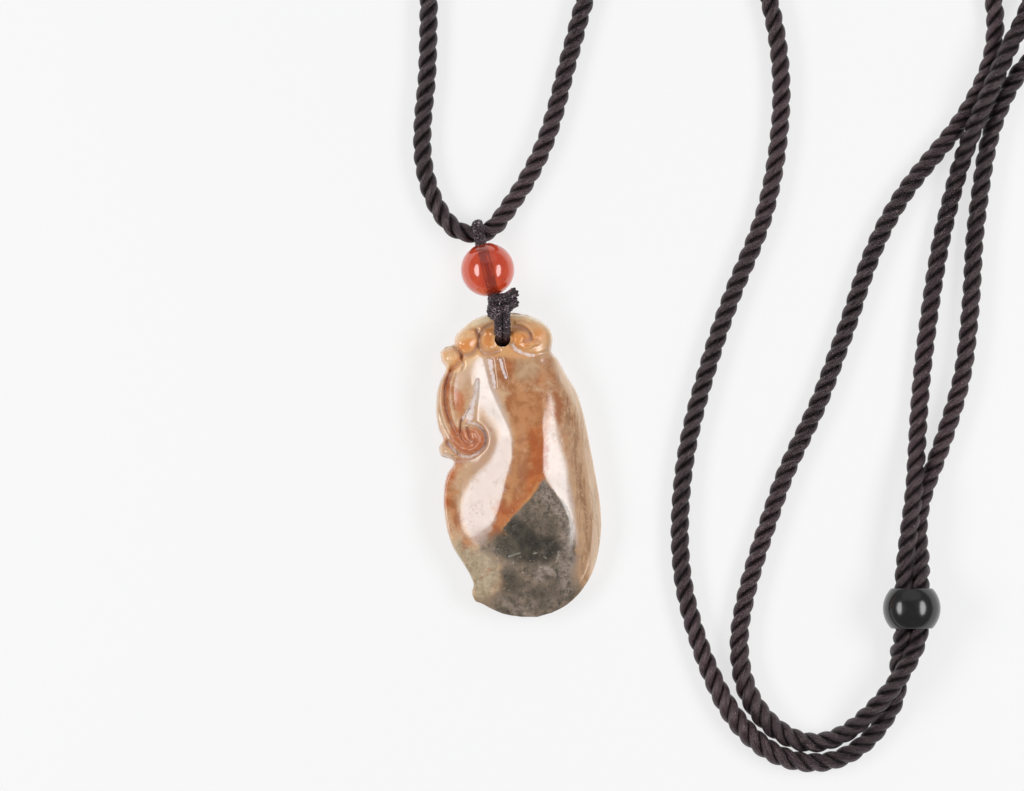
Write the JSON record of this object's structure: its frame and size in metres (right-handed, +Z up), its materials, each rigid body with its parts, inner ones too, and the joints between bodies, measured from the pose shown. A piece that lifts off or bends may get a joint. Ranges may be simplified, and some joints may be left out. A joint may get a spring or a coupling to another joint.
{
  "type": "carved jade pendant on a neck cord",
  "caption": "Carved stone pendant hung by a thin braided cord and a red bead from a twisted neck cord with a slider bead, lying face up.",
  "frame": {"origin": "on the surface that the pendant lies on, under the middle of the stone, red bead and thin hanger cord", "axes": "+Z up out of the carved front, +Y from the stone's foot towards its hanger, +X to the right as seen from above"},
  "size_m": [0.1241, 0.1582, 0.0096],
  "materials": {
    "jade": "polished stone, tan to orange and grey-green, with pale powder in the carved lines",
    "red_agate": "polished, translucent orange-red",
    "thin_braid": "fine black braid with a dark purple cast",
    "twisted_cord": "dark brown satin three-ply twist",
    "black_bead": "polished black with a greyer rim"
  },
  "bodies": {
    "root": {"jade_pendant": "jade", "red_bead": "red_agate", "hanger_loop": "thin_braid", "hanger_knot": "thin_braid", "pendant_tie": "thin_braid", "neck_cord": "twisted_cord", "slider_bead": "black_bead"}
  },
  "joints": []
}
